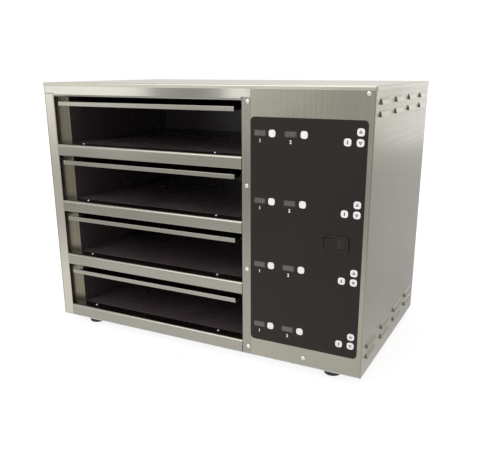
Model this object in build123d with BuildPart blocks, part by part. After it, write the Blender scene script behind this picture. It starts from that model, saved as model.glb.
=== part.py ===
from build123d import *

import math
import os

# A heated holding bin: four heated pan bays, one above the other, beside a control compartment.
# Distances inside the cabinet are measured from its left side, its front face and the top of its feet.

# Driving dimensions, in millimetres
WIDTH = 620.0
DEPTH = 354.0
HEIGHT = 452.5
FOOT_HEIGHT = 16.0
SHEET = 1.5
GAP = 0.2
BEND = 1.75
POST_BEND = 1.0
TOP_LIP = 6.5

# The bays
BAYS = 4
BAY_PITCH = 106.5
BAY_OPENING = 84.0
FIRST_FLOOR = 23.5
POST = 21.0
OPENING_RIGHT = 407.0
REVEAL = 25.0
FLANGES = (12.5, 9.5)
LINER_BACK = 338.0
EDGE_BEND = 4.0
HEADER_SEAM = (433.0, 434.0)

# The pan covers
COVER_DROP = 15.1
COVER_SHEET = 1.0
COVER_LIP = 7.7
COVER_LIP_THICK = 2.0
COVER_OUT = 4.0
RAIL_DEPTH = 6.3
RAIL_THICK = 1.0
RUNNING = 0.3

# The control panel
OVERLAY_X = (423.5, 611.3)
OVERLAY_Z = (32.3, 405.0)
OVERLAY_THICK = 0.5
OVERLAY_CORNER = 7.0
ROW_DROP = 4.4
DISPLAY_X = (440.0, 491.4)
DISPLAY_SIZE = (20.5, 9.5)
TIMER_KEY_X = (460.7, 513.5)
SELECT_KEY_X = 581.3
ARROW_KEY_X = 600.5
ARROW_RISE = 7.6
KEY = 11.4
KEY_CORNER = 4.4
KEY_RISE = 1.2
KEY_TRAVEL = 0.5
SCREW_HOLE = 2.1
PANEL_SCREWS = ((418.6, 427.5), (416.8, 296), (416.8, 155.5), (419, 15), (521, 15), (609.5, 442))

# The power switch
SWITCH_X = 568.0
SWITCH_Z = 218.5
BEZEL = (44.5, 25.5)
SWITCH_BODY = (36.6, 20.8)
ROCKER_HALF = 17.0
ROCKER_FACE = 4.5
ROCKER_TILT = 8.0
PIVOT_DEPTH = 2.0

# The vents, gland and feet
LOUVRE_RISE = 3.2
LOUVRE_LENGTH = 46.0
LOUVRE_COLUMNS = (46.0, 132.5, 218.7, 305.0)
LOUVRE_HEIGHTS = (430.0, 412.5, 47.5, 29.5)
GLAND_RISE = 14.0
GLAND_BORE = 5.2
GLAND_X = 560.0
GLAND_Z = 60.0
FOOT_INSET = (57.0, 31.0)
FOOT_RADIUS = 15.0

# How far the rocker's raised end stands out of the front face
tilt = math.radians(ROCKER_TILT)
ROCKER_OUT = ROCKER_HALF * math.sin(tilt) + (ROCKER_FACE + PIVOT_DEPTH) * math.cos(tilt) - PIVOT_DEPTH

# The origin is the centre of the whole part's footprint, on the surface that it stands on
LEFT = -(WIDTH + SHEET + LOUVRE_RISE) / 2 + SHEET
FRONT = -(DEPTH + ROCKER_OUT + GLAND_RISE) / 2 + ROCKER_OUT
CORNER = (LEFT, FRONT, FOOT_HEIGHT)
PLAN = Plane(origin=CORNER, x_dir=(1, 0, 0), z_dir=(0, 0, 1))
FACE = Plane(origin=CORNER, x_dir=(1, 0, 0), z_dir=(0, -1, 0))
SIDE = Plane(origin=CORNER, x_dir=(0, 1, 0), z_dir=(1, 0, 0))

# Heights and widths that follow from the driving dimensions
floors = [FIRST_FLOOR + BAY_PITCH * level for level in reversed(range(BAYS))]
ceilings = [floor + BAY_OPENING for floor in floors]
rows = [floor + BAY_OPENING / 2 - ROW_DROP for floor in floors]
cover_levels = [ceiling - COVER_DROP for ceiling in ceilings]
LINER_LEFT = POST + FLANGES[0]
LINER_RIGHT = OPENING_RIGHT - FLANGES[1]
LINER_FRONT = REVEAL + SHEET + GAP
SKIRT = SHEET + GAP
PANEL_STACK = SKIRT + SHEET + 1
PANEL_TOP = HEIGHT - SHEET - GAP

display_places = [(x, row) for row in rows for x in DISPLAY_X]
key_places = {}
for bay, row in enumerate(rows, start=1):
    key_places[f"timer_key_{bay}a"] = (TIMER_KEY_X[0], row)
    key_places[f"timer_key_{bay}b"] = (TIMER_KEY_X[1], row)
    key_places[f"up_key_{bay}"] = (ARROW_KEY_X, row + ARROW_RISE)
    key_places[f"down_key_{bay}"] = (ARROW_KEY_X, row - ARROW_RISE)
    key_places[f"select_key_{bay}"] = (SELECT_KEY_X, row - ARROW_RISE)


def slab(x, y, z, mode=Mode.ADD):
    """Adds a box, given by its two ends from the cabinet's left side, front face and base."""
    middle = tuple(corner + sum(ends) / 2 for corner, ends in zip(CORNER, (x, y, z)))
    with Locations(middle):
        Box(x[1] - x[0], y[1] - y[0], z[1] - z[0], mode=mode)


def bent_sheet(plane, points, length, radius=BEND, thickness=SHEET):
    """Adds a sheet bent along the middle line through the points, drawn on the plane."""
    with BuildSketch(plane) as section:
        with BuildLine():
            FilletPolyline(*points, radius=radius)
        trace(line_width=thickness)
    extrude(section.sketch, amount=length)


# The cabinet's skin
with BuildPart() as base_pan:
    slab((SKIRT, WIDTH - SKIRT), (0, DEPTH - SKIRT), (0, SHEET))
    slab((SKIRT, SKIRT + SHEET), (REVEAL + 5, DEPTH - SKIRT), (0, 15))
    slab((WIDTH - SKIRT - SHEET, WIDTH - SKIRT), (5, DEPTH - SKIRT), (0, 15))
    slab((SKIRT, WIDTH - SKIRT), (DEPTH - SKIRT - SHEET, DEPTH - SKIRT), (0, 15))
    slab((OPENING_RIGHT + 22, WIDTH - 16), (SKIRT, SKIRT + SHEET), (0, 24))
    with BuildSketch(FACE):
        with Locations(PANEL_SCREWS[4]):
            Circle(SCREW_HOLE)
    extrude(amount=-PANEL_STACK, mode=Mode.SUBTRACT)

with BuildPart() as left_side_panel:
    slab((0, SHEET), (0, DEPTH), (0, PANEL_TOP))

with BuildPart() as louvre_hood:
    with BuildSketch(Plane.XZ.offset(-LOUVRE_LENGTH / 2)):
        with BuildLine():
            ThreePointArc((-0.4, 5.4), (2.2, 1.0), (LOUVRE_RISE, -4.0))
            Polyline((LOUVRE_RISE, -4.0), (-0.4, -4.0), (-0.4, 5.4))
        make_face()
    extrude(amount=LOUVRE_LENGTH)

with BuildPart() as louvre_mouth:
    with BuildSketch(Plane.XZ.offset(-LOUVRE_LENGTH / 2 + 1)):
        with BuildLine():
            ThreePointArc((-SHEET - 0.5, 3.8), (1.2, 0.2), (LOUVRE_RISE - 1, -4.6))
            Polyline((LOUVRE_RISE - 1, -4.6), (-SHEET - 0.5, -4.6), (-SHEET - 0.5, 3.8))
        make_face()
    extrude(amount=LOUVRE_LENGTH - 2)

with BuildPart() as right_side_panel:
    slab((WIDTH - SHEET, WIDTH), (0, DEPTH), (0, PANEL_TOP))
    slab((WIDTH - 17, WIDTH - SHEET), (SKIRT, SKIRT + SHEET), (425, PANEL_TOP))
    louvre_places = [
        (LEFT + WIDTH, FRONT + y, FOOT_HEIGHT + z)
        for y in LOUVRE_COLUMNS
        for z in LOUVRE_HEIGHTS
    ]
    with Locations(*louvre_places):
        add(louvre_hood.part)
        add(louvre_mouth.part, mode=Mode.SUBTRACT)
    with BuildSketch(FACE):
        with Locations(PANEL_SCREWS[-1]):
            Circle(SCREW_HOLE)
    extrude(amount=-PANEL_STACK, mode=Mode.SUBTRACT)

with BuildPart() as top_cover:
    slab((-SHEET, WIDTH + SHEET), (-SHEET, DEPTH + SHEET), (HEIGHT - TOP_LIP, HEIGHT))
    fillet(top_cover.edges().filter_by(Axis.Z), 3.0)
    fillet(top_cover.faces().sort_by(Axis.Z)[-1].edges(), 2.2)
    slab((0, WIDTH), (0, DEPTH), (HEIGHT - 8, HEIGHT - SHEET), mode=Mode.SUBTRACT)

BACK_SCREWS = [(x, z) for x in (16, 310, 604) for z in (20, 432)]
with BuildPart() as back_panel:
    slab((SKIRT, WIDTH - SKIRT), (DEPTH - SHEET, DEPTH), (SKIRT, PANEL_TOP))
    with BuildSketch(FACE.offset(-DEPTH)):
        with Locations(*BACK_SCREWS):
            Circle(SCREW_HOLE)
        with Locations((GLAND_X, GLAND_Z)):
            Circle(10.2)
        with Locations((520, 350)):
            with GridLocations(70, 12, 2, 8):
                SlotOverall(52, 5)
    extrude(amount=SHEET, mode=Mode.SUBTRACT)

# The front frame: two posts with deep returns under a header that runs over both, and a bottom band
half = SHEET / 2
STILE_END = OVERLAY_X[0] - GAP
HEADER_SPACE = (-1, SKIRT)
with BuildPart() as left_post:
    bent_sheet(
        PLAN.offset(SKIRT),
        ((SKIRT, half), (POST - half, half), (POST - half, REVEAL + half), (LINER_LEFT, REVEAL + half)),
        PANEL_TOP - SKIRT,
        radius=POST_BEND,
    )
    slab((0, POST + 1), HEADER_SPACE, (HEADER_SEAM[0], HEIGHT), mode=Mode.SUBTRACT)

with BuildPart() as middle_post:
    stile = OPENING_RIGHT + half
    bent_sheet(
        PLAN.offset(SKIRT),
        ((STILE_END, half), (stile, half), (stile, REVEAL + half), (LINER_RIGHT, REVEAL + half)),
        PANEL_TOP - SKIRT,
        radius=POST_BEND,
    )
    slab((OPENING_RIGHT - 1, STILE_END), HEADER_SPACE, (HEADER_SEAM[0], HEIGHT), mode=Mode.SUBTRACT)
    with BuildSketch(FACE):
        with Locations(*PANEL_SCREWS[:4]):
            Circle(SCREW_HOLE)
    extrude(amount=-PANEL_STACK, mode=Mode.SUBTRACT)

RAIL_ENDS = (POST + GAP, OPENING_RIGHT - GAP)
RAIL_LENGTH = RAIL_ENDS[1] - RAIL_ENDS[0]
RETURN = REVEAL - 1.2
with BuildPart() as header:
    top_ceiling = ceilings[0]
    bent_sheet(
        SIDE.offset(RAIL_ENDS[0]),
        ((half, PANEL_TOP), (half, top_ceiling + half), (RETURN, top_ceiling + half)),
        RAIL_LENGTH,
        radius=EDGE_BEND,
    )
    slab(RAIL_ENDS, (-1, 0.6), HEADER_SEAM, mode=Mode.SUBTRACT)
    slab((SKIRT, RAIL_ENDS[0]), (0, SHEET), (HEADER_SEAM[1], PANEL_TOP))
    slab((RAIL_ENDS[1], STILE_END), (0, SHEET), (HEADER_SEAM[1], PANEL_TOP))

with BuildPart() as bottom_band:
    bent_sheet(
        SIDE.offset(RAIL_ENDS[0]),
        ((half, SKIRT), (half, FIRST_FLOOR - half), (RETURN, FIRST_FLOOR - half)),
        RAIL_LENGTH,
        radius=EDGE_BEND,
    )


def shelf(floor, ceiling):
    """A shelf's folded nose, between the floor of one bay and the ceiling of the bay below it."""
    with BuildPart() as nose:
        bent_sheet(
            SIDE.offset(RAIL_ENDS[0]),
            ((RETURN, floor - half), (half, floor - half), (half, ceiling + half), (RETURN, ceiling + half)),
            RAIL_LENGTH,
            radius=(EDGE_BEND, BEND),
        )
    return nose


shelves = [shelf(floor, ceiling) for floor, ceiling in zip(floors[:-1], ceilings[1:])]

# The bays' black linings, heated plates and cover rails
LINER_Z = (10.0, PANEL_TOP - 8)
with BuildPart() as left_bay_wall:
    slab((LINER_LEFT - SHEET, LINER_LEFT), (LINER_FRONT, LINER_BACK), LINER_Z)

with BuildPart() as right_bay_wall:
    slab((LINER_RIGHT, LINER_RIGHT + SHEET), (LINER_FRONT, LINER_BACK), LINER_Z)

with BuildPart() as back_bay_wall:
    slab((LINER_LEFT + GAP, LINER_RIGHT - GAP), (LINER_BACK - SHEET, LINER_BACK), LINER_Z)

PLATE_X = (LINER_LEFT + GAP, LINER_RIGHT - GAP)
PLATE_Y = (LINER_FRONT + GAP, LINER_BACK - SHEET - GAP)
PLATE_FLANGE = 7.0
with BuildPart() as lower_heat_plates:
    for floor in floors:
        slab(PLATE_X, PLATE_Y, (floor - SHEET, floor))
        slab((PLATE_X[0], PLATE_X[0] + SHEET), PLATE_Y, (floor - PLATE_FLANGE, floor))
        slab((PLATE_X[1] - SHEET, PLATE_X[1]), PLATE_Y, (floor - PLATE_FLANGE, floor))

with BuildPart() as upper_heat_plates:
    for ceiling in ceilings:
        slab(PLATE_X, PLATE_Y, (ceiling, ceiling + SHEET))
        slab((PLATE_X[0], PLATE_X[0] + SHEET), PLATE_Y, (ceiling, ceiling + PLATE_FLANGE))
        slab((PLATE_X[1] - SHEET, PLATE_X[1]), PLATE_Y, (ceiling, ceiling + PLATE_FLANGE))

MAT_X = (60.0, 370.0)
MAT_Y = (45.0, 320.0)
MAT = 1.6
with BuildPart() as heater_mats:
    for floor, ceiling in zip(floors, ceilings):
        slab(MAT_X, MAT_Y, (floor - SKIRT - MAT, floor - SKIRT))
        slab(MAT_X, MAT_Y, (ceiling + SKIRT, ceiling + SKIRT + MAT))

DIVIDER_X = (OPENING_RIGHT + SHEET + GAP, OPENING_RIGHT + SHEET + GAP + 1.2)
CLEAR = SKIRT + MAT + GAP
FILL_X = (LINER_LEFT + 3.5, LINER_RIGHT - 3.5)
WOOL_Z = (3.0, PANEL_TOP - 2)
with BuildPart() as insulation:
    for floor, ceiling in zip(floors[:-1], ceilings[1:]):
        slab(FILL_X, PLATE_Y, (ceiling + CLEAR, floor - CLEAR))
    slab(FILL_X, PLATE_Y, (WOOL_Z[0], floors[-1] - CLEAR))
    slab(FILL_X, PLATE_Y, (ceilings[0] + CLEAR, WOOL_Z[1]))
    slab((3.5, LINER_LEFT - SHEET - GAP), (LINER_FRONT, 350), WOOL_Z)
    slab((LINER_RIGHT + SHEET + GAP, DIVIDER_X[0] - GAP), (LINER_FRONT, 350), WOOL_Z)
    slab(PLATE_X, (LINER_BACK + GAP, 350), WOOL_Z)

with BuildPart() as cover_rails:
    for level in cover_levels:
        for bottom in (level - RUNNING - RAIL_THICK, level + COVER_SHEET + RUNNING):
            slab((PLATE_X[0], PLATE_X[0] + RAIL_DEPTH), PLATE_Y, (bottom, bottom + RAIL_THICK))
            slab((PLATE_X[1] - RAIL_DEPTH, PLATE_X[1]), PLATE_Y, (bottom, bottom + RAIL_THICK))


def pan_cover(level):
    """A sliding sheet over the pans, with an upturned front lip that stands out of the front face."""
    ends = (PLATE_X[0] + 1 + RUNNING, PLATE_X[1] - 1 - RUNNING)
    with BuildPart() as cover:
        slab(ends, (-COVER_OUT, PLATE_Y[1] - 2), (level, level + COVER_SHEET))
        slab(ends, (-COVER_OUT, COVER_LIP_THICK - COVER_OUT), (level, level + COVER_LIP))
        fillet(cover.edges().filter_by(Axis.X).group_by(Axis.Y)[0], 0.8)
    return cover


pan_covers = [pan_cover(level) for level in cover_levels]

# The control compartment's walls
with BuildPart() as divider_wall:
    slab(DIVIDER_X, (LINER_FRONT, DEPTH - SKIRT - SHEET - GAP), (SKIRT, PANEL_TOP))
    slab((DIVIDER_X[0], DIVIDER_X[1] + 12), (LINER_FRONT, 340), (SKIRT, SKIRT + 1.2))

KEY_HOLE = KEY + 2 * RUNNING
WELDED_STRIP = (OPENING_RIGHT + 3, OVERLAY_X[0] + 3)
with BuildPart() as control_plate:
    slab((OVERLAY_X[0], WIDTH - SKIRT), (0, SHEET), (SKIRT, PANEL_TOP))
    slab(WELDED_STRIP, (SKIRT, SKIRT + SHEET), (SKIRT, PANEL_TOP))
    slab((OVERLAY_X[0], WELDED_STRIP[1]), (SHEET, SKIRT), (SKIRT, PANEL_TOP))
    with BuildSketch(FACE):
        with Locations(*key_places.values()):
            RectangleRounded(KEY_HOLE, KEY_HOLE, KEY_CORNER)
        with Locations(*display_places):
            Rectangle(*DISPLAY_SIZE)
        with Locations((SWITCH_X, SWITCH_Z)):
            Rectangle(SWITCH_BODY[0] + 0.4, SWITCH_BODY[1] + 0.4)
        with Locations(*PANEL_SCREWS):
            Circle(SCREW_HOLE)
    extrude(amount=-PANEL_STACK, mode=Mode.SUBTRACT)

with BuildPart() as control_overlay:
    with BuildSketch(FACE):
        with Locations((sum(OVERLAY_X) / 2, sum(OVERLAY_Z) / 2)):
            RectangleRounded(OVERLAY_X[1] - OVERLAY_X[0], OVERLAY_Z[1] - OVERLAY_Z[0], OVERLAY_CORNER)
        with Locations(*key_places.values()):
            RectangleRounded(KEY_HOLE, KEY_HOLE, KEY_CORNER, mode=Mode.SUBTRACT)
        with Locations(*display_places):
            Rectangle(*DISPLAY_SIZE, mode=Mode.SUBTRACT)
        with Locations((SWITCH_X, SWITCH_Z)):
            Rectangle(SWITCH_BODY[0] + 0.4, SWITCH_BODY[1] + 0.4, mode=Mode.SUBTRACT)
    extrude(amount=OVERLAY_THICK)

# Displays and timer boards, one board behind each row of keys
BOARD_FRONT = 14.0
BOARD = 1.6
BOARD_SIZE = (180.0, 48.0)
BOARD_X = 520.0
board_places = [(BOARD_X, row) for row in rows]
with BuildPart() as display_windows:
    with BuildSketch(FACE.offset(OVERLAY_THICK)):
        with Locations(*display_places):
            Rectangle(DISPLAY_SIZE[0] - 0.2, DISPLAY_SIZE[1] - 0.2)
    extrude(amount=-(OVERLAY_THICK + SHEET))

with BuildPart() as display_modules:
    with BuildSketch(FACE.offset(-SKIRT)):
        with Locations(*display_places):
            Rectangle(25, 17)
    extrude(amount=-(BOARD_FRONT - GAP - SKIRT))

with BuildPart() as timer_boards:
    with BuildSketch(FACE.offset(-BOARD_FRONT)):
        with Locations(*board_places):
            Rectangle(*BOARD_SIZE)
    extrude(amount=-BOARD)
    with BuildSketch(FACE.offset(-SKIRT)):
        with Locations(*board_places):
            with GridLocations(BOARD_SIZE[0] - 8, BOARD_SIZE[1] - 8, 2, 2):
                Circle(2.5)
    extrude(amount=-(BOARD_FRONT - SKIRT))

SWITCH_FRONT = 7.0
with BuildPart() as key_switches:
    with BuildSketch(FACE.offset(-SWITCH_FRONT - 2)):
        with Locations(*key_places.values()):
            Rectangle(6, 6)
    extrude(amount=-(BOARD_FRONT - GAP - SWITCH_FRONT - 2))
    with BuildSketch(FACE.offset(-SWITCH_FRONT)):
        with Locations(*key_places.values()):
            Circle(1.75)
    extrude(amount=-3)


def key_cap(place):
    """A key's cap, with the flange that holds it behind the plate and the stem to its switch."""
    flange = KEY + 1.9
    with BuildPart() as cap:
        with BuildSketch(FACE.offset(KEY_RISE)):
            with Locations(place):
                RectangleRounded(KEY, KEY, KEY_CORNER - RUNNING)
        extrude(amount=-(KEY_RISE + SKIRT + GAP))
        fillet(cap.faces().sort_by(Axis.Y)[0].edges(), 0.5)
        with BuildSketch(FACE.offset(-SKIRT - GAP)):
            with Locations(place):
                RectangleRounded(flange, flange, KEY_CORNER)
        extrude(amount=-1.2)
        with BuildSketch(FACE.offset(-SKIRT)):
            with Locations(place):
                Circle(2.5)
        extrude(amount=-(SWITCH_FRONT - KEY_TRAVEL - GAP - SKIRT))
    return cap


keys = {name: key_cap(place) for name, place in key_places.items()}

# The power switch: a housing clipped into the plate, and a rocker on two stub pins
PIN = 1.5
PIN_CLEAR = 0.06
WELL = (SWITCH_BODY[0] - 3.0, 18.8)
ROCKER_WIDTH = 18.2
with BuildPart() as switch_housing:
    with BuildSketch(FACE.offset(OVERLAY_THICK)):
        with Locations((SWITCH_X, SWITCH_Z)):
            RectangleRounded(*BEZEL, 2)
    extrude(amount=2)
    fillet(switch_housing.faces().sort_by(Axis.Y)[0].edges(), 0.8)
    with BuildSketch(FACE.offset(OVERLAY_THICK)):
        with Locations((SWITCH_X, SWITCH_Z)):
            Rectangle(*SWITCH_BODY)
    extrude(amount=-28)
    with BuildSketch(FACE.offset(OVERLAY_THICK)):
        with Locations((SWITCH_X, SWITCH_Z)):
            Rectangle(2 * ROCKER_HALF + 3.0, WELL[1])
    extrude(amount=5, mode=Mode.SUBTRACT)
    with BuildSketch(FACE.offset(OVERLAY_THICK)):
        with Locations((SWITCH_X, SWITCH_Z)):
            Rectangle(*WELL)
    extrude(amount=-11, mode=Mode.SUBTRACT)
    with BuildSketch(PLAN.offset(SWITCH_Z - WELL[1] / 2 - 0.6)):
        with Locations((SWITCH_X, PIVOT_DEPTH)):
            Circle(PIN + PIN_CLEAR)
    extrude(amount=WELL[1] + 1.2, mode=Mode.SUBTRACT)

pivot = Plane(
    origin=(LEFT + SWITCH_X, FRONT + PIVOT_DEPTH, FOOT_HEIGHT + SWITCH_Z),
    x_dir=(math.cos(tilt), math.sin(tilt), 0),
    z_dir=(0, 0, 1),
)
with BuildPart() as switch_rocker:
    with BuildSketch(pivot.offset(-ROCKER_WIDTH / 2)):
        with BuildLine():
            face = -(ROCKER_FACE + PIVOT_DEPTH)
            ThreePointArc((-ROCKER_HALF, face), (0, face + 1.8), (ROCKER_HALF, face))
            Polyline((ROCKER_HALF, face), (15, -2), (5, 6), (-5, 6), (-15, -2), (-ROCKER_HALF, face))
        make_face()
    extrude(amount=ROCKER_WIDTH)
    with BuildSketch(pivot.offset(-ROCKER_WIDTH / 2 - 0.6)):
        Circle(PIN)
    extrude(amount=ROCKER_WIDTH + 1.2)

# Power and control gear inside
RELAY_BOARD_X = DIVIDER_X[1] + 3.0
with BuildPart() as relay_board:
    slab((RELAY_BOARD_X, RELAY_BOARD_X + BOARD), (105, 310), (50, 390))
    with BuildSketch(SIDE.offset(DIVIDER_X[1] + GAP)):
        with Locations((207.5, 220)):
            with GridLocations(190, 320, 2, 2):
                Circle(3)
    extrude(amount=3)

with BuildPart() as relays:
    with BuildSketch(SIDE.offset(RELAY_BOARD_X + BOARD + GAP)):
        with Locations((240, 220)):
            with GridLocations(60, 80, 2, BAYS):
                Rectangle(30, 22)
    extrude(amount=24)

with BuildPart() as transformer:
    slab((515, 585), (220, 262), (SKIRT, SKIRT + 58))
    slab((527, 573), (208, 274), (SKIRT + 12, SKIRT + 46))

LOOM = 3.0
loom_start = RELAY_BOARD_X + BOARD + GAP
with BuildPart() as wire_harness:
    for row in rows:
        with BuildLine(PLAN.offset(row - 14)) as route:
            FilletPolyline((loom_start, 118), (456, 118), (490, 66), (490, BOARD_FRONT + BOARD + GAP), radius=24)
        with BuildSketch(Plane(origin=route.line @ 0, z_dir=route.line % 0)):
            Circle(LOOM)
        sweep(path=route.line)

with BuildPart() as cord_gland:
    with BuildSketch(FACE.offset(-DEPTH)):
        with Locations((GLAND_X, GLAND_Z)):
            RegularPolygon(12, 6)
    extrude(amount=-6)
    with BuildSketch(FACE.offset(-DEPTH - 6)):
        with Locations((GLAND_X, GLAND_Z)):
            Circle(9.5)
    extrude(amount=-(GLAND_RISE - 6))
    fillet(cord_gland.faces().sort_by(Axis.Y)[-1].edges(), 3.0)
    with BuildSketch(FACE.offset(-DEPTH)):
        with Locations((GLAND_X, GLAND_Z)):
            Circle(10)
    extrude(amount=14)
    with BuildSketch(FACE.offset(-DEPTH + SKIRT)):
        with Locations((GLAND_X, GLAND_Z)):
            RegularPolygon(13, 6)
    extrude(amount=5)
    with BuildSketch(FACE.offset(-DEPTH - GLAND_RISE - 1)):
        with Locations((GLAND_X, GLAND_Z)):
            Circle(GLAND_BORE)
    extrude(amount=60, mode=Mode.SUBTRACT)

# Feet and screws
with BuildPart() as feet:
    footprint = (WIDTH / 2, DEPTH / 2)
    with BuildSketch(PLAN.offset(-FOOT_HEIGHT)):
        with Locations(footprint):
            with GridLocations(WIDTH - 2 * FOOT_INSET[0], DEPTH - 2 * FOOT_INSET[1], 2, 2):
                Circle(FOOT_RADIUS)
    extrude(amount=FOOT_HEIGHT)
    chamfer(feet.edges().filter_by(GeomType.CIRCLE).group_by(Axis.Z)[0], 2.0, 1.0)

HEAD = 3.6
HEAD_RISE = 1.6
FLOOR_HEAD = 2.6
FLOOR_HEAD_RISE = 1.2
FLOOR_SCREWS = [(x, 18.0) for x in (69.0, 349.0)]
with BuildPart() as screws:
    with BuildSketch(FACE):
        with Locations(*PANEL_SCREWS):
            Circle(HEAD)
    extrude(amount=HEAD_RISE)
    with BuildSketch(FACE.offset(-DEPTH)):
        with Locations(*BACK_SCREWS):
            Circle(HEAD)
    extrude(amount=-HEAD_RISE)
    for floor in floors:
        with BuildSketch(PLAN.offset(floor)):
            with Locations(*FLOOR_SCREWS):
                Circle(FLOOR_HEAD)
        extrude(amount=FLOOR_HEAD_RISE)
    chamfer(screws.edges().filter_by(GeomType.CIRCLE).group_by(Axis.Y)[0], 0.8)
    with BuildSketch(FACE.offset(0.5)):
        with Locations(*PANEL_SCREWS):
            Circle(2)
    extrude(amount=-8)
    with BuildSketch(FACE.offset(-DEPTH - 0.5)):
        with Locations(*BACK_SCREWS):
            Circle(2)
    extrude(amount=3.7)

pieces = {
    "base_pan": base_pan,
    "left_side_panel": left_side_panel,
    "right_side_panel": right_side_panel,
    "top_cover": top_cover,
    "back_panel": back_panel,
    "left_post": left_post,
    "middle_post": middle_post,
    "header": header,
    "bottom_band": bottom_band,
    "left_bay_wall": left_bay_wall,
    "right_bay_wall": right_bay_wall,
    "back_bay_wall": back_bay_wall,
    "lower_heat_plates": lower_heat_plates,
    "upper_heat_plates": upper_heat_plates,
    "heater_mats": heater_mats,
    "insulation": insulation,
    "cover_rails": cover_rails,
    "divider_wall": divider_wall,
    "control_plate": control_plate,
    "control_overlay": control_overlay,
    "display_windows": display_windows,
    "display_modules": display_modules,
    "timer_boards": timer_boards,
    "key_switches": key_switches,
    "switch_housing": switch_housing,
    "switch_rocker": switch_rocker,
    "relay_board": relay_board,
    "relays": relays,
    "transformer": transformer,
    "wire_harness": wire_harness,
    "cord_gland": cord_gland,
    "feet": feet,
    "screws": screws,
    **keys,
}
for number, nose in enumerate(shelves, start=1):
    pieces[f"shelf_{number}"] = nose
for number, cover in enumerate(pan_covers, start=1):
    pieces[f"pan_cover_{number}"] = cover

os.makedirs("parts", exist_ok=True)
for name, piece in pieces.items():
    piece.part.label = name
    export_step(piece.part, f"parts/{name}.step")
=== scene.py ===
"""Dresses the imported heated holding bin: its finishes, screws, key symbols and displays."""

import logging
import math
from dataclasses import dataclass, field
from enum import Enum
from typing import Callable

import bmesh
import bpy
from mathutils import Matrix, Vector


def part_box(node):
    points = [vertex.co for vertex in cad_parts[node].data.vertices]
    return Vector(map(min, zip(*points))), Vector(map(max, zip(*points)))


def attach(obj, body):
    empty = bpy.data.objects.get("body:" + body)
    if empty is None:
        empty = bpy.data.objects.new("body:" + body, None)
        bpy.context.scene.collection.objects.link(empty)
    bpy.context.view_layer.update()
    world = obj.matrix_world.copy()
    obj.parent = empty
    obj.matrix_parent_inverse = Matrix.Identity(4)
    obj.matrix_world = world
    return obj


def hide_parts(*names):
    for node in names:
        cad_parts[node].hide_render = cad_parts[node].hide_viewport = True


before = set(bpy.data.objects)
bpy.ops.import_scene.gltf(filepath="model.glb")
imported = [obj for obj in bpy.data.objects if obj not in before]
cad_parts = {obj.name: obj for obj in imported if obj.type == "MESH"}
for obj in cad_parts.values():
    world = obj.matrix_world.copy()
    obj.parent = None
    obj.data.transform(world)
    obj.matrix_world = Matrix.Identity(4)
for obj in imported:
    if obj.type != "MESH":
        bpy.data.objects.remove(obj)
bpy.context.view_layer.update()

logging.basicConfig(level=logging.INFO, format="%(message)s")
log = logging.getLogger("holding_bin")

Colour = tuple[float, float, float]
MM = 0.001


class Run(Enum):
    """The way in which a sheet of steel was brushed."""

    ACROSS = (1.5, 520.0, 520.0)
    BACKWARDS = (520.0, 1.5, 520.0)
    UPWARDS = (520.0, 520.0, 1.5)


class Facing(Enum):
    """The side of the cabinet that a small piece stands on, as the turn from its own upright."""

    FRONT = Matrix(((1, 0, 0), (0, 0, -1), (0, 1, 0)))
    BACK = Matrix(((-1, 0, 0), (0, 0, 1), (0, 1, 0)))
    FLOOR = Matrix(((1, 0, 0), (0, 1, 0), (0, 0, 1)))


class Symbol(Enum):
    """What is printed on a key."""

    NONE = 0
    UP = 1
    DOWN = 2
    BAR = 3


# Distances from the cabinet's left side, front face and base, in millimetres
CORNER = Vector(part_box("left_side_panel")[0])
ROWS = (380.6, 274.1, 167.6, 61.1)
FLOORS = (343.0, 236.5, 130.0, 23.5)
DISPLAY_X = (440.0, 491.4)
OVERLAY_FRONT = -0.5
KEY_FRONT = -1.2
ARROW_RISE = 7.6
ARROW_KEY_X = 600.5
SELECT_KEY_X = 581.3
PANEL_SCREWS = ((418.6, 427.5), (416.8, 296), (416.8, 155.5), (419, 15), (521, 15), (609.5, 442))
BACK_SCREWS = tuple((x, z) for x in (16, 310, 604) for z in (20, 432))
FLOOR_SCREWS = ((69.0, 18.0), (349.0, 18.0))
DEPTH = 354.0
BAYS = len(FLOORS)


def spot(x: float, y: float, z: float) -> Vector:
    """Turns distances inside the cabinet into a place in the row's frame.

    Args:
        x: Distance from the left side, in millimetres.
        y: Distance behind the front face, in millimetres.
        z: Height above the base, in millimetres.

    Returns:
        The place, in metres.
    """
    return CORNER + Vector((x, y, z)) * MM


def stand(facing: Facing, place: Vector, turn: float = 0.0) -> Matrix:
    """Gives the transform that stands a small piece on one side of the cabinet.

    Args:
        facing: The side that it stands on.
        place: Where its own origin goes, in metres.
        turn: How far it is turned about its own upright, in radians.

    Returns:
        The transform from the piece's own axes to the row's frame.
    """
    return Matrix.Translation(place) @ facing.value.to_4x4() @ Matrix.Rotation(turn, 4, "Z")


# Shader helpers


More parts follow.
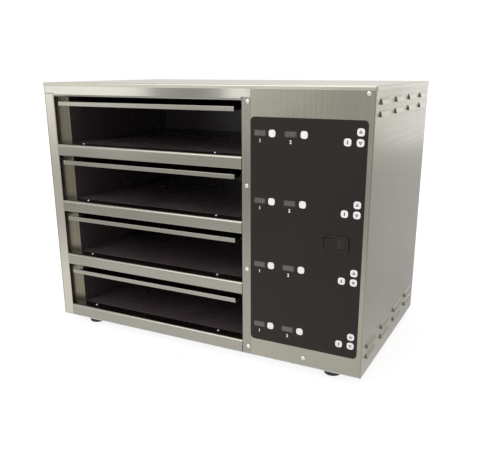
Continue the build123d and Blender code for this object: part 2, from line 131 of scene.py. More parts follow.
@dataclass
class Wiring:
    """Adds and joins nodes in one node tree."""

    tree: bpy.types.NodeTree

    def node(self, kind: str, **settings: object) -> bpy.types.Node:
        """Adds a node.

        Args:
            kind: The node's Blender type.
            **settings: Values for its own properties.

        Returns:
            The new node.
        """
        made = self.tree.nodes.new(kind)
        for name, value in settings.items():
            setattr(made, name, value)
        return made

    def join(self, source: bpy.types.NodeSocket, target: bpy.types.NodeSocket) -> None:
        """Links one socket to another."""
        self.tree.links.new(source, target)

    def ramp(self, source: bpy.types.NodeSocket, low: float, high: float) -> bpy.types.NodeSocket:
        """Maps a mask from 0..1 to a range.

        Args:
            source: The mask.
            low: The value where the mask is 0.
            high: The value where the mask is 1.

        Returns:
            The mapped value.
        """
        ramp = self.node("ShaderNodeMapRange")
        ramp.inputs["To Min"].default_value = low
        ramp.inputs["To Max"].default_value = high
        self.join(source, ramp.inputs["Value"])
        return ramp.outputs["Result"]

    def blend(self, mask: bpy.types.NodeSocket, low: Colour, high: Colour) -> bpy.types.NodeSocket:
        """Mixes two colours by a mask.

        Args:
            mask: 0 gives the first colour and 1 the second.
            low: The first colour.
            high: The second colour.

        Returns:
            The mixed colour.
        """
        mix = self.node("ShaderNodeMix", data_type="RGBA")
        self.join(mask, mix.inputs["Factor"])
        colours = [socket for socket in mix.inputs if socket.type == "RGBA"]
        colours[0].default_value = (*low, 1.0)
        colours[1].default_value = (*high, 1.0)
        return [socket for socket in mix.outputs if socket.type == "RGBA"][0]


class Effects:
    """The shader node groups that more than one finish uses, each built once."""

    def __init__(self) -> None:
        """Builds the groups."""
        self.brushing = self._build("Brushing", self._brushing, (("Stretch", "NodeSocketVector"),))
        self.clouding = self._build("Clouding", self._clouding, (("Size", "NodeSocketFloat"),))
        self.stipple = self._build("Stipple", self._stipple, (("Size", "NodeSocketFloat"),))
        self.scuffing = self._build("Scuffing", self._scuffing, (("Size", "NodeSocketFloat"),))

    @staticmethod
    def _build(
        name: str,
        fill: Callable[[Wiring, bpy.types.Node, bpy.types.Node], None],
        sockets: tuple[tuple[str, str], ...],
    ) -> bpy.types.NodeTree:
        """Makes a group with a vector input, the named inputs and one mask output.

        Args:
            name: The group's name.
            fill: The function that adds its inner nodes.
            sockets: Name and type of each further input.

        Returns:
            The group.
        """
        tree = bpy.data.node_groups.new(name, "ShaderNodeTree")
        tree.interface.new_socket("Vector", in_out="INPUT", socket_type="NodeSocketVector")
        for label, kind in sockets:
            tree.interface.new_socket(label, in_out="INPUT", socket_type=kind)
        tree.interface.new_socket("Mask", in_out="OUTPUT", socket_type="NodeSocketFloat")
        wiring = Wiring(tree)
        fill(wiring, wiring.node("NodeGroupInput"), wiring.node("NodeGroupOutput"))
        return tree

    @staticmethod
    def _brushing(wiring: Wiring, source: bpy.types.Node, result: bpy.types.Node) -> None:
        """Fills the group of long fine lines that a brushing belt leaves."""
        stretch = wiring.node("ShaderNodeVectorMath", operation="MULTIPLY")
        wiring.join(source.outputs["Vector"], stretch.inputs[0])
        wiring.join(source.outputs["Stretch"], stretch.inputs[1])
        lines = wiring.node("ShaderNodeTexNoise")
        lines.inputs["Scale"].default_value = 1.0
        lines.inputs["Detail"].default_value = 4.0
        lines.inputs["Roughness"].default_value = 0.7
        wiring.join(stretch.outputs["Vector"], lines.inputs["Vector"])
        spread = wiring.node("ShaderNodeMapRange")
        spread.inputs["From Min"].default_value = 0.3
        spread.inputs["From Max"].default_value = 0.7
        wiring.join(lines.outputs["Fac"], spread.inputs["Value"])
        wiring.join(spread.outputs["Result"], result.inputs["Mask"])

    @staticmethod
    def _clouding(wiring: Wiring, source: bpy.types.Node, result: bpy.types.Node) -> None:
        """Fills the group of soft large patches, as handling and rolling leave."""
        clouds = wiring.node("ShaderNodeTexNoise")
        clouds.inputs["Detail"].default_value = 3.0
        clouds.inputs["Roughness"].default_value = 0.55
        clouds.inputs["Distortion"].default_value = 0.4
        wiring.join(source.outputs["Vector"], clouds.inputs["Vector"])
        wiring.join(source.outputs["Size"], clouds.inputs["Scale"])
        spread = wiring.node("ShaderNodeMapRange", interpolation_type="SMOOTHSTEP")
        spread.inputs["From Min"].default_value = 0.32
        spread.inputs["From Max"].default_value = 0.68
        wiring.join(clouds.outputs["Fac"], spread.inputs["Value"])
        wiring.join(spread.outputs["Result"], result.inputs["Mask"])

    @staticmethod
    def _stipple(wiring: Wiring, source: bpy.types.Node, result: bpy.types.Node) -> None:
        """Fills the group of small even bumps, as on moulded plastic, rubber and film."""
        cells = wiring.node("ShaderNodeTexVoronoi", feature="SMOOTH_F1")
        wiring.join(source.outputs["Vector"], cells.inputs["Vector"])
        wiring.join(source.outputs["Size"], cells.inputs["Scale"])
        wiring.join(cells.outputs["Distance"], result.inputs["Mask"])

    @staticmethod
    def _scuffing(wiring: Wiring, source: bpy.types.Node, result: bpy.types.Node) -> None:
        """Fills the group of sparse thin scratches, short in one direction."""
        squash = wiring.node("ShaderNodeVectorMath", operation="MULTIPLY")
        squash.inputs[1].default_value = (1.0, 1.0, 14.0)
        wiring.join(source.outputs["Vector"], squash.inputs[0])
        marks = wiring.node("ShaderNodeTexNoise")
        marks.inputs["Detail"].default_value = 2.0
        marks.inputs["Distortion"].default_value = 1.2
        wiring.join(squash.outputs["Vector"], marks.inputs["Vector"])
        wiring.join(source.outputs["Size"], marks.inputs["Scale"])
        spread = wiring.node("ShaderNodeMapRange")
        spread.inputs["From Min"].default_value = 0.64
        spread.inputs["From Max"].default_value = 0.72
        wiring.join(marks.outputs["Fac"], spread.inputs["Value"])
        wiring.join(spread.outputs["Result"], result.inputs["Mask"])


@dataclass
class Coating:
    """A material under way: its wiring, its shader and the point that its patterns read."""

    name: str
    material: bpy.types.Material = field(init=False)
    wiring: Wiring = field(init=False)
    shader: bpy.types.Node = field(init=False)
    place: bpy.types.NodeSocket = field(init=False)

    def __post_init__(self) -> None:
        """Makes the material with its shader and its object coordinates."""
        self.material = bpy.data.materials.new(self.name)
        self.material.use_nodes = True
        self.wiring = Wiring(self.material.node_tree)
        self.shader = next(n for n in self.material.node_tree.nodes if n.type == "BSDF_PRINCIPLED")
        self.place = self.wiring.node("ShaderNodeTexCoord").outputs["Object"]

    def set(self, **values: float) -> None:
        """Sets constant values on the shader's sockets, with underscores for the spaces in their names."""
        for name, value in values.items():
            self.shader.inputs[name.replace("_", " ")].default_value = value

    def mask(self, group: bpy.types.NodeTree, **values: object) -> bpy.types.NodeSocket:
        """Places one of the shared effects.

        Args:
            group: The effect's node group.
            **values: Its inputs.

        Returns:
            The effect's mask.
        """
        placed = self.wiring.node("ShaderNodeGroup", node_tree=group)
        self.wiring.join(self.place, placed.inputs["Vector"])
        for name, value in values.items():
            placed.inputs[name].default_value = value
        return placed.outputs["Mask"]

    def paint(self, socket: str, source: bpy.types.NodeSocket) -> None:
        """Feeds one of the shader's sockets."""
        self.wiring.join(source, self.shader.inputs[socket])

    def bump(self, height: bpy.types.NodeSocket, distance: float, strength: float) -> None:
        """Raises the surface by a mask.

        Args:
            height: The mask.
            distance: The height of the relief, in metres.
            strength: How much of it shows.
        """
        bump = self.wiring.node("ShaderNodeBump")
        bump.inputs["Distance"].default_value = distance
        bump.inputs["Strength"].default_value = strength
        self.wiring.join(height, bump.inputs["Height"])
        self.wiring.join(bump.outputs["Normal"], self.shader.inputs["Normal"])


# Finishes


@dataclass(frozen=True)
class BrushedSteel:
    """Stainless sheet with belt lines one way."""

    name: str
    run: Run
    colour: Colour = (0.28, 0.268, 0.236)
    rough: float = 0.24

    def make(self, effects: Effects) -> bpy.types.Material:
        """Builds the material.

        Args:
            effects: The shared node groups.

        Returns:
            The material.
        """
        coat = Coating(self.name)
        lines = coat.mask(effects.brushing, Stretch=self.run.value)
        clouds = coat.mask(effects.clouding, Size=5.0)
        dim = tuple(c * 0.95 for c in self.colour)
        tone = coat.wiring.blend(lines, dim, self.colour)
        shade = coat.wiring.node("ShaderNodeMix", data_type="RGBA", blend_type="MULTIPLY")
        shade.inputs["Factor"].default_value = 1.0
        colours = [socket for socket in shade.inputs if socket.type == "RGBA"]
        coat.wiring.join(tone, colours[0])
        coat.wiring.join(coat.wiring.blend(clouds, (0.93, 0.93, 0.92), (1.0, 1.0, 1.0)), colours[1])
        coat.paint("Base Color", [s for s in shade.outputs if s.type == "RGBA"][0])
        add = coat.wiring.node("ShaderNodeMath", operation="ADD")
        coat.wiring.join(coat.wiring.ramp(lines, self.rough - 0.04, self.rough + 0.05), add.inputs[0])
        coat.wiring.join(coat.wiring.ramp(clouds, 0.0, 0.06), add.inputs[1])
        coat.paint("Roughness", add.outputs["Value"])
        coat.bump(lines, 0.00004, 0.14)
        coat.set(Metallic=1.0)
        return coat.material


@dataclass(frozen=True)
class ZincSheet:
    """Galvanised sheet with its spangle."""

    name: str
    colour: Colour = (0.5, 0.51, 0.52)

    def make(self, effects: Effects) -> bpy.types.Material:
        """Builds the material.

        Args:
            effects: The shared node groups.

        Returns:
            The material.
        """
        coat = Coating(self.name)
        spangle = coat.wiring.node("ShaderNodeTexVoronoi")
        spangle.inputs["Scale"].default_value = 90.0
        coat.wiring.join(coat.place, spangle.inputs["Vector"])
        tint = coat.wiring.node("ShaderNodeSeparateColor")
        coat.wiring.join(spangle.outputs["Color"], tint.inputs["Color"])
        dark = tuple(c * 0.8 for c in self.colour)
        coat.paint("Base Color", coat.wiring.blend(tint.outputs[0], dark, self.colour))
        coat.paint("Roughness", coat.wiring.ramp(tint.outputs[1], 0.38, 0.55))
        coat.bump(coat.mask(effects.clouding, Size=30.0), 0.0001, 0.15)
        coat.set(Metallic=1.0)
        return coat.material


@dataclass(frozen=True)
class Skin:
    """A paint, plastic, rubber or film: one colour with soft patches, a fine stipple and thin scuffs."""

    name: str
    colour: Colour
    patch: Colour
    rough: tuple[float, float]
    grain: float
    relief: float
    strength: float = 0.3
    specular: float = 0.5
    coat: float = 0.0
    scuffed: float = 0.0

    def make(self, effects: Effects) -> bpy.types.Material:
        """Builds the material.

        Args:
            effects: The shared node groups.

        Returns:
            The material.
        """
        coat = Coating(self.name)
        clouds = coat.mask(effects.clouding, Size=9.0)
        coat.paint("Base Color", coat.wiring.blend(clouds, self.colour, self.patch))
        if self.scuffed:
            worn = coat.wiring.node("ShaderNodeMath", operation="ADD")
            coat.wiring.join(coat.wiring.ramp(clouds, *self.rough), worn.inputs[0])
            coat.wiring.join(
                coat.wiring.ramp(coat.mask(effects.scuffing, Size=7.0), 0.0, self.scuffed), worn.inputs[1]
            )
            coat.paint("Roughness", worn.outputs["Value"])
        else:
            coat.paint("Roughness", coat.wiring.ramp(clouds, *self.rough))
        coat.bump(coat.mask(effects.stipple, Size=self.grain), self.relief, self.strength)
        coat.set(Specular_IOR_Level=self.specular)
        if self.coat:
            coat.set(Coat_Weight=self.coat, Coat_Roughness=0.12)
        return coat.material


@dataclass(frozen=True)
class Wool:
    """Mineral wool board, made of short fibres that lie every way."""

    name: str
    colour: Colour = (0.72, 0.68, 0.5)

    def make(self, effects: Effects) -> bpy.types.Material:
        """Builds the material.

        Args:
            effects: The shared node groups.

        Returns:
            The material.
        """
        coat = Coating(self.name)
        fibres = coat.wiring.node("ShaderNodeTexNoise")
        fibres.inputs["Scale"].default_value = 260.0
        fibres.inputs["Detail"].default_value = 6.0
        fibres.inputs["Distortion"].default_value = 3.0
        coat.wiring.join(coat.place, fibres.inputs["Vector"])
        dark = tuple(c * 0.6 for c in self.colour)
        coat.paint("Base Color", coat.wiring.blend(fibres.outputs["Fac"], dark, self.colour))
        coat.paint("Roughness", coat.wiring.ramp(coat.mask(effects.clouding, Size=20.0), 0.85, 1.0))
        coat.bump(fibres.outputs["Fac"], 0.001, 0.7)
        coat.set(Sheen_Weight=0.3)
        return coat.material


@dataclass(frozen=True)
class CircuitBoard:
    """Green board: solder mask over copper tracks."""

    name: str
    colour: Colour = (0.012, 0.13, 0.05)

    def make(self, effects: Effects) -> bpy.types.Material:
        """Builds the material.

        Args:
            effects: The shared node groups.

        Returns:
            The material.
        """
        coat = Coating(self.name)
        tracks = coat.wiring.node("ShaderNodeTexBrick")
        tracks.inputs["Scale"].default_value = 140.0
        tracks.inputs["Mortar Size"].default_value = 0.12
        tracks.inputs["Color1"].default_value = (0.0, 0.0, 0.0, 1.0)
        tracks.inputs["Color2"].default_value = (0.0, 0.0, 0.0, 1.0)
        tracks.inputs["Mortar"].default_value = (1.0, 1.0, 1.0, 1.0)
        upright = coat.wiring.node("ShaderNodeMapping")
        upright.inputs["Rotation"].default_value = (math.radians(90), 0.0, math.radians(45))
        coat.wiring.join(coat.place, upright.inputs["Vector"])
        coat.wiring.join(upright.outputs["Vector"], tracks.inputs["Vector"])
        copper = tuple(min(1.0, c * 1.9) for c in self.colour)
        coat.paint("Base Color", coat.wiring.blend(tracks.outputs["Color"], self.colour, copper))
        coat.paint("Roughness", coat.wiring.ramp(coat.mask(effects.clouding, Size=40.0), 0.25, 0.4))
        coat.bump(tracks.outputs["Color"], 0.00003, 0.4)
        return coat.material


@dataclass(frozen=True)
class Laminations:
    """The stacked, varnished steel sheets of a transformer core."""

    name: str
    colour: Colour = (0.16, 0.16, 0.17)

    def make(self, effects: Effects) -> bpy.types.Material:
        """Builds the material.

        Args:
            effects: The shared node groups.

        Returns:
            The material.
        """
        coat = Coating(self.name)
        sheets = coat.wiring.node("ShaderNodeTexWave", bands_direction="Y")
        sheets.inputs["Scale"].default_value = 320.0
        sheets.inputs["Distortion"].default_value = 0.4
        coat.wiring.join(coat.place, sheets.inputs["Vector"])
        dark = tuple(c * 0.55 for c in self.colour)
        coat.paint("Base Color", coat.wiring.blend(sheets.outputs["Fac"], dark, self.colour))
        coat.paint("Roughness", coat.wiring.ramp(coat.mask(effects.clouding, Size=30.0), 0.35, 0.55))
        coat.bump(sheets.outputs["Fac"], 0.0002, 0.5)
        coat.set(Metallic=0.7)
        return coat.material


class Finishes:
    """Every material on the bin, built once."""

    def __init__(self) -> None:
        """Builds the materials."""
        effects = Effects()
        self.across = BrushedSteel("steel_brushed_across", Run.ACROSS).make(effects)
        self.upwards = BrushedSteel("steel_brushed_upwards", Run.UPWARDS, (0.262, 0.25, 0.22)).make(effects)
        # The left post is the same steel in a lighter colour: painted reflection of the light on the left of
        # the front.
        self.post = BrushedSteel("steel_left_post_painted_highlight", Run.UPWARDS, (0.45, 0.428, 0.372)).make(effects)
        self.panel = BrushedSteel("steel_control_plate", Run.UPWARDS, (0.3, 0.291, 0.24)).make(effects)
        # The top cover is the same steel in a lighter colour: painted light on the upward face.
        self.lid = BrushedSteel("steel_top_cover_painted_light", Run.ACROSS, (0.435, 0.424, 0.366), 0.34).make(effects)
        self.bright = BrushedSteel("steel_header", Run.ACROSS, (0.31, 0.302, 0.275), 0.1).make(effects)
        self.side = BrushedSteel("steel_side", Run.BACKWARDS, (0.275, 0.256, 0.21), 0.26).make(effects)
        self.zinc = ZincSheet("zinc_sheet").make(effects)
        self.screw = BrushedSteel("screw_steel", Run.ACROSS, (0.75, 0.74, 0.7), 0.2).make(effects)
        self.lining = Skin(
            "black_lining", (0.066, 0.05, 0.053), (0.08, 0.062, 0.066), (0.2, 0.34), 900.0, 0.00004,
            strength=0.15, specular=0.5, scuffed=0.07,
        ).make(effects)
        self.overlay = Skin(
            "overlay_film", (0.0105, 0.0072, 0.0058), (0.0125, 0.0086, 0.007), (0.42, 0.52), 2600.0, 0.00002,
            specular=0.22,
        ).make(effects)
        self.window = Skin(
            "display_window", (0.024, 0.022, 0.021), (0.03, 0.028, 0.027), (0.2, 0.28), 1800.0, 0.00001,
            strength=0.1, coat=0.3,
        ).make(effects)
        self.segment = Skin(
            "display_segment", (0.17, 0.162, 0.158), (0.2, 0.192, 0.188), (0.35, 0.45), 1800.0, 0.00001,
        ).make(effects)
        self.key = Skin(
            "key_white", (0.74, 0.735, 0.73), (0.71, 0.705, 0.7), (0.34, 0.44), 1500.0, 0.00003,
            strength=0.25,
        ).make(effects)
        self.ink = Skin(
            "symbol_ink", (0.03, 0.028, 0.028), (0.04, 0.037, 0.037), (0.5, 0.6), 2200.0, 0.00001,
        ).make(effects)
        self.red_ink = Skin(
            "symbol_ink_red", (0.17, 0.035, 0.035), (0.2, 0.045, 0.042), (0.5, 0.6), 2200.0, 0.00001,
        ).make(effects)
        self.switch = Skin(
            "switch_plastic", (0.0115, 0.0088, 0.0075), (0.0135, 0.0102, 0.0088), (0.45, 0.55), 1900.0,
            0.00003, specular=0.25,
        ).make(effects)
        self.numeral = Skin(
            "numeral_ink", (0.74, 0.73, 0.71), (0.8, 0.79, 0.77), (0.5, 0.6), 2200.0, 0.00001,
        ).make(effects)
        self.plastic = Skin(
            "black_plastic", (0.014, 0.0135, 0.013), (0.02, 0.019, 0.0185), (0.36, 0.5), 1300.0, 0.00006,
            specular=0.4,
        ).make(effects)
        # A paler colour along the rocker's crease: painted highlight.
        self.mark = Skin(
            "rocker_crease_highlight", (0.035, 0.031, 0.029), (0.042, 0.038, 0.035), (0.4, 0.5), 2200.0, 0.00001,
        ).make(effects)
        self.silicone = Skin(
            "silicone_mat", (0.5, 0.13, 0.045), (0.42, 0.1, 0.035), (0.6, 0.75), 700.0, 0.0001,
        ).make(effects)
        self.sleeve = Skin(
            "wire_sleeve", (0.03, 0.03, 0.032), (0.045, 0.045, 0.048), (0.5, 0.65), 900.0, 0.00015,
            strength=0.5,
        ).make(effects)
        self.rubber = Skin(
            "foot_rubber", (0.012, 0.012, 0.012), (0.022, 0.021, 0.02), (0.65, 0.85), 1100.0, 0.0001,
            strength=0.4,
        ).make(effects)
        self.wool = Wool("mineral_wool").make(effects)
        self.board = CircuitBoard("circuit_board").make(effects)
        self.core = Laminations("transformer_core").make(effects)

    def by_node(self) -> dict[str, bpy.types.Material]:
        """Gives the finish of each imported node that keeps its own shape.

        Returns:
            The material for each node's name.
        """
        chosen = {
            "base_pan": self.zinc,
            "left_side_panel": self.side,
            "right_side_panel": self.side,
            "top_cover": self.lid,
            "back_panel": self.upwards,
            "left_post": self.post,
            "middle_post": self.upwards,
            "header": self.bright,
            "bottom_band": self.across,
            "left_bay_wall": self.lining,
            "right_bay_wall": self.lining,
            "back_bay_wall": self.lining,
            "lower_heat_plates": self.lining,
            "upper_heat_plates": self.lining,
            "cover_rails": self.lining,
            "heater_mats": self.silicone,
            "insulation": self.wool,
            "divider_wall": self.zinc,
            "control_plate": self.panel,
            "control_overlay": self.overlay,
            "display_windows": self.window,
            "display_modules": self.plastic,
            "timer_boards": self.board,
            "key_switches": self.plastic,
            "switch_housing": self.switch,
            "switch_rocker": self.switch,
            "relay_board": self.board,
            "relays": self.plastic,
            "transformer": self.core,
            "wire_harness": self.sleeve,
            "cord_gland": self.plastic,
            "feet": self.rubber,
        }
        for number in range(1, BAYS):
            chosen[f"shelf_{number}"] = self.across
        for number in range(1, BAYS + 1):
            chosen[f"pan_cover_{number}"] = self.across
            for key in ("up_key", "down_key", "select_key"):
                chosen[f"{key}_{number}"] = self.key
            for side in "ab":
                chosen[f"timer_key_{number}{side}"] = self.key
        return chosen


# New pieces


def show(
    name: str, mesh: bpy.types.Mesh, finish: bpy.types.Material, body: str
) -> bpy.types.Object:
    """Puts a finished mesh in the scene and makes it ride on a body.

    Args:
        name: The piece's name.
        mesh: Its mesh, already in place.
        finish: Its material.
        body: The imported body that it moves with.

    Returns:
        The new object.
    """
    mesh.materials.clear()
    mesh.materials.append(finish)
    piece = bpy.data.objects.new(name, mesh)
    bpy.context.scene.collection.objects.link(piece)
    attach(piece, body)
    log.info("%s rides on %s with %d faces", name, body, len(mesh.polygons))
    return piece


def settle(name: str, bm: bmesh.types.BMesh) -> bpy.types.Mesh:
    """Closes a bmesh with its faces outwards and turns it into a mesh.

    Args:
        name: The mesh's name.
        bm: The bmesh, which is freed.

    Returns:
        The mesh.
    """
    bmesh.ops.remove_doubles(bm, verts=bm.verts, dist=1e-7)
    bmesh.ops.recalc_face_normals(bm, faces=bm.faces)
    mesh = bpy.data.meshes.new(name)
    bm.to_mesh(mesh)
    bm.free()
    return mesh


def thicken(bm: bmesh.types.BMesh, height: float) -> None:
    """Raises every face of a flat bmesh straight up into a closed plate.

    Args:
        bm: The flat bmesh, in its own XY plane.
        height: The plate's thickness, in metres.
    """
    raised = bmesh.ops.extrude_face_region(bm, geom=list(bm.faces), use_keep_orig=True)
    corners = [item for item in raised["geom"] if isinstance(item, bmesh.types.BMVert)]
    bmesh.ops.translate(bm, verts=corners, vec=(0.0, 0.0, height))


@dataclass
class Screws:
    """Pan-head screws with a cross recess: on the control plate, the back panel and the bays' floors."""

    head: float = 3.6 * MM
    rise: float = 1.9 * MM
    floor_share: float = 0.72
    shank: float = 1.95 * MM
    panel_length: float = 7.5 * MM
    back_length: float = 3.2 * MM
    steps: int = 28
    recess: tuple[float, float, float] = (4.4 * MM, 0.95 * MM, 2.4 * MM)
    turn: float = math.radians(37)

    def one(self, length: float) -> bpy.types.Mesh:
        """Turns one screw on its own axis, and cuts its recess.

        Args:
            length: The length of its shank, in metres.

        Returns:
            The screw's mesh, upright at the origin.
        """
        bm = bmesh.new()
        outline = [(0.0, 1.0), (0.45, 0.96), (0.75, 0.78), (0.93, 0.45), (1.0, 0.0)]
        points = [Vector((part * self.head, 0.0, high * self.rise)) for part, high in outline]
        if length:
            shank = ((self.shank, 0.0), (self.shank, -length), (0.0, -length))
            points += [Vector((out, 0.0, high)) for out, high in shank]
        else:
            points.append(Vector((0.0, 0.0, 0.0)))
        corners = [bm.verts.new(point) for point in points]
        edges = [bm.edges.new(pair) for pair in zip(corners, corners[1:])]
        bmesh.ops.spin(
            bm, geom=corners + edges, cent=(0, 0, 0), axis=(0, 0, 1), dvec=(0, 0, 0),
            angle=math.tau, steps=self.steps, use_merge=True, use_duplicate=False,
        )
        blank = bpy.data.objects.new("screw_blank", settle("screw_blank", bm))
        bpy.context.scene.collection.objects.link(blank)
        blades = [self._blade(blank, angle) for angle in (0.0, math.pi / 2)]
        bpy.context.view_layer.update()
        cut = bpy.data.meshes.new_from_object(blank.evaluated_get(bpy.context.evaluated_depsgraph_get()))
        for spare in (blank, *blades):
            bpy.data.objects.remove(spare)
        return cut

    def _blade(self, blank: bpy.types.Object, angle: float) -> bpy.types.Object:
        """Cuts one arm of the cross recess out of a screw.

        Args:
            blank: The screw.
            angle: The arm's direction, in radians.

        Returns:
            The cutter.
        """
        bm = bmesh.new()
        bmesh.ops.create_cube(bm, size=1.0)
        bmesh.ops.scale(bm, vec=self.recess, verts=bm.verts)
        foot = [corner for corner in bm.verts if corner.co.z < 0]
        bmesh.ops.scale(bm, vec=(0.35, 0.6, 1.0), verts=foot)
        bmesh.ops.translate(bm, vec=(0.0, 0.0, self.rise), verts=bm.verts)
        bmesh.ops.rotate(bm, cent=(0, 0, 0), matrix=Matrix.Rotation(angle, 3, "Z"), verts=bm.verts)
        cutter = bpy.data.objects.new("screw_cutter", settle("screw_cutter", bm))
        bpy.context.scene.collection.objects.link(cutter)
        modifier = blank.modifiers.new("recess", "BOOLEAN")
        modifier.operation = "DIFFERENCE"
        modifier.solver = "EXACT"
        modifier.object = cutter
        return cutter

    def build(self, finishes: Finishes) -> None:
        """Sets every screw in its place, as one piece.

        Args:
            finishes: The bin's materials.
        """
        long, short, flat = self.one(self.panel_length), self.one(self.back_length), self.one(0.0)
        places = [(long, Facing.FRONT, spot(x, 0, z)) for x, z in PANEL_SCREWS]
        places += [(short, Facing.BACK, spot(x, DEPTH, z)) for x, z in BACK_SCREWS]
        places += [(flat, Facing.FLOOR, spot(x, y, floor)) for floor in FLOORS for x, y in FLOOR_SCREWS]
        bm = bmesh.new()
        for number, (mesh, facing, place) in enumerate(places):
            copy = mesh.copy()
            if facing is Facing.FLOOR:
                copy.transform(Matrix.Scale(self.floor_share, 4))
            copy.transform(stand(facing, place, number * self.turn))
            bm.from_mesh(copy)
            bpy.data.meshes.remove(copy)
        piece = show("screw_heads", settle("screw_heads", bm), finishes.screw, "cabinet")
        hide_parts("screws")


@dataclass
class KeySymbols:
    """The grey symbols printed on the up, down and select keys."""

    size: float = 3.3 * MM
    stroke: float = 1.05 * MM
    bar: tuple[float, float] = (1.9 * MM, 5.6 * MM)
    ink: float = 0.08 * MM
    sunk: float = 0.04 * MM

    def flat(self, symbol: Symbol) -> bmesh.types.BMesh:
        """Draws a symbol in its own plane.

        Args:
            symbol: Which one.

        Returns:
            Its flat faces.
        """
        bm = bmesh.new()
        if symbol is Symbol.BAR:
            bmesh.ops.create_grid(bm, x_segments=1, y_segments=1, size=0.5)
            bmesh.ops.scale(bm, vec=(*self.bar, 1.0), verts=bm.verts)
            bmesh.ops.bevel(
                bm, geom=bm.verts, offset=0.4 * MM, segments=3, profile=0.5, affect="VERTICES", material=-1,
            )
            return bm
        bmesh.ops.create_circle(bm, cap_ends=True, segments=3, radius=self.size)
        if symbol is Symbol.DOWN:
            bmesh.ops.rotate(bm, cent=(0, 0, 0), matrix=Matrix.Rotation(math.pi, 3, "Z"), verts=bm.verts)
        bmesh.ops.inset_region(
            bm, faces=bm.faces, thickness=self.stroke, use_even_offset=True, use_boundary=True,
        )
        middle = min(bm.faces, key=lambda face: face.calc_center_median().length)
        bmesh.ops.delete(bm, geom=[middle], context="FACES_ONLY")
        return bm

    def build(self, finishes: Finishes) -> None:
        """Prints every key's symbol.

        Args:
            finishes: The bin's materials.
        """
        for bay, row in enumerate(ROWS, start=1):
            spots = (
                (f"up_key_{bay}", Symbol.UP, ARROW_KEY_X, row + ARROW_RISE),
                (f"down_key_{bay}", Symbol.DOWN, ARROW_KEY_X, row - ARROW_RISE),
                (f"select_key_{bay}", Symbol.BAR, SELECT_KEY_X, row - ARROW_RISE),
            )
            for key, symbol, x, z in spots:
                bm = self.flat(symbol)
                thicken(bm, self.ink)
                place = spot(x, KEY_FRONT, z) + Vector((0.0, self.sunk, 0.0))
                bmesh.ops.transform(bm, matrix=stand(Facing.FRONT, place), verts=bm.verts)
                ink = finishes.red_ink if symbol is Symbol.BAR else finishes.ink
                show(f"{key}_symbol", settle(f"{key}_symbol", bm), ink, key)


@dataclass
class Displays:
    """The unlit digits behind each display's window, and the numeral under it."""

    digits: int = 3
    tall: float = 6.2 * MM
    wide: float = 3.4 * MM
    pitch: float = 5.6 * MM
    stroke: float = 0.85 * MM
    slant: float = math.radians(6)
    drop: float = 12.0
    numeral: float = 7.2 * MM

    def _bar(self, bm: bmesh.types.BMesh, place: tuple[float, float], length: float, upright: bool) -> None:
        """Adds one pointed segment.

        Args:
            bm: The bmesh that it is added to.
            place: Its middle, in metres.
            length: Its length, in metres.
            upright: Whether it stands.
        """
        made = bmesh.ops.create_circle(bm, cap_ends=True, segments=6, radius=0.5)["verts"]
        bmesh.ops.scale(bm, vec=(self.stroke, length, 1.0), verts=made)
        if not upright:
            bmesh.ops.rotate(bm, cent=(0, 0, 0), matrix=Matrix.Rotation(math.pi / 2, 3, "Z"), verts=made)
        bmesh.ops.translate(bm, vec=(*place, 0.0), verts=made)

    def face(self) -> bmesh.types.BMesh:
        """Draws one display's digits in their own plane.

        Returns:
            Their segments.
        """
        bm = bmesh.new()
        half = self.tall / 4
        for digit in range(self.digits):
            middle = (digit - (self.digits - 1) / 2) * self.pitch
            for level in (-1, 0, 1):
                self._bar(bm, (middle, level * 2 * half), self.wide * 0.72, upright=False)
            for side in (-1, 1):
                for level in (-1, 1):
                    self._bar(bm, (middle + side * self.wide / 2, level * half), half * 1.7, upright=True)
        for corner in bm.verts:
            corner.co.x += corner.co.y * math.tan(self.slant)
        thicken(bm, 0.06 * MM)
        return bm

    def word(self, text: str) -> bpy.types.Mesh:
        """Makes a numeral's mesh.

        Args:
            text: The numeral.

        Returns:
            Its mesh, flat at the origin.
        """
        curve = bpy.data.curves.new("numeral", "FONT")
        curve.body = text
        curve.size = self.numeral
        curve.align_x = "CENTER"
        curve.align_y = "CENTER"
        curve.extrude = 0.03 * MM
        curve.offset = 0.2 * MM
        holder = bpy.data.objects.new("numeral", curve)
        bpy.context.scene.collection.objects.link(holder)
        bpy.context.view_layer.update()
        mesh = bpy.data.meshes.new_from_object(holder.evaluated_get(bpy.context.evaluated_depsgraph_get()))
        bpy.data.objects.remove(holder)
        bpy.data.curves.remove(curve)
        return mesh

    def build(self, finishes: Finishes) -> None:
        """Adds the digits and numerals of every display.

        Args:
            finishes: The bin's materials.
        """
        digits, numerals = bmesh.new(), bmesh.new()
        for row in ROWS:
            for column, x in enumerate(DISPLAY_X, start=1):
                pattern = self.face()
                place = spot(x, OVERLAY_FRONT, row) + Vector((0.0, 0.02 * MM, 0.0))
                bmesh.ops.transform(pattern, matrix=stand(Facing.FRONT, place), verts=pattern.verts)
                spare = settle("digit_copy", pattern)
                digits.from_mesh(spare)
                bpy.data.meshes.remove(spare)
                mesh = self.word(str(column))
                mesh.transform(stand(Facing.FRONT, spot(x, OVERLAY_FRONT, row - self.drop)))
                numerals.from_mesh(mesh)
                bpy.data.meshes.remove(mesh)
        segments = settle("display_digits", digits)
        show("display_digits", segments, finishes.segment, "cabinet")
        show("bay_numerals", settle("bay_numerals", numerals), finishes.numeral, "cabinet")


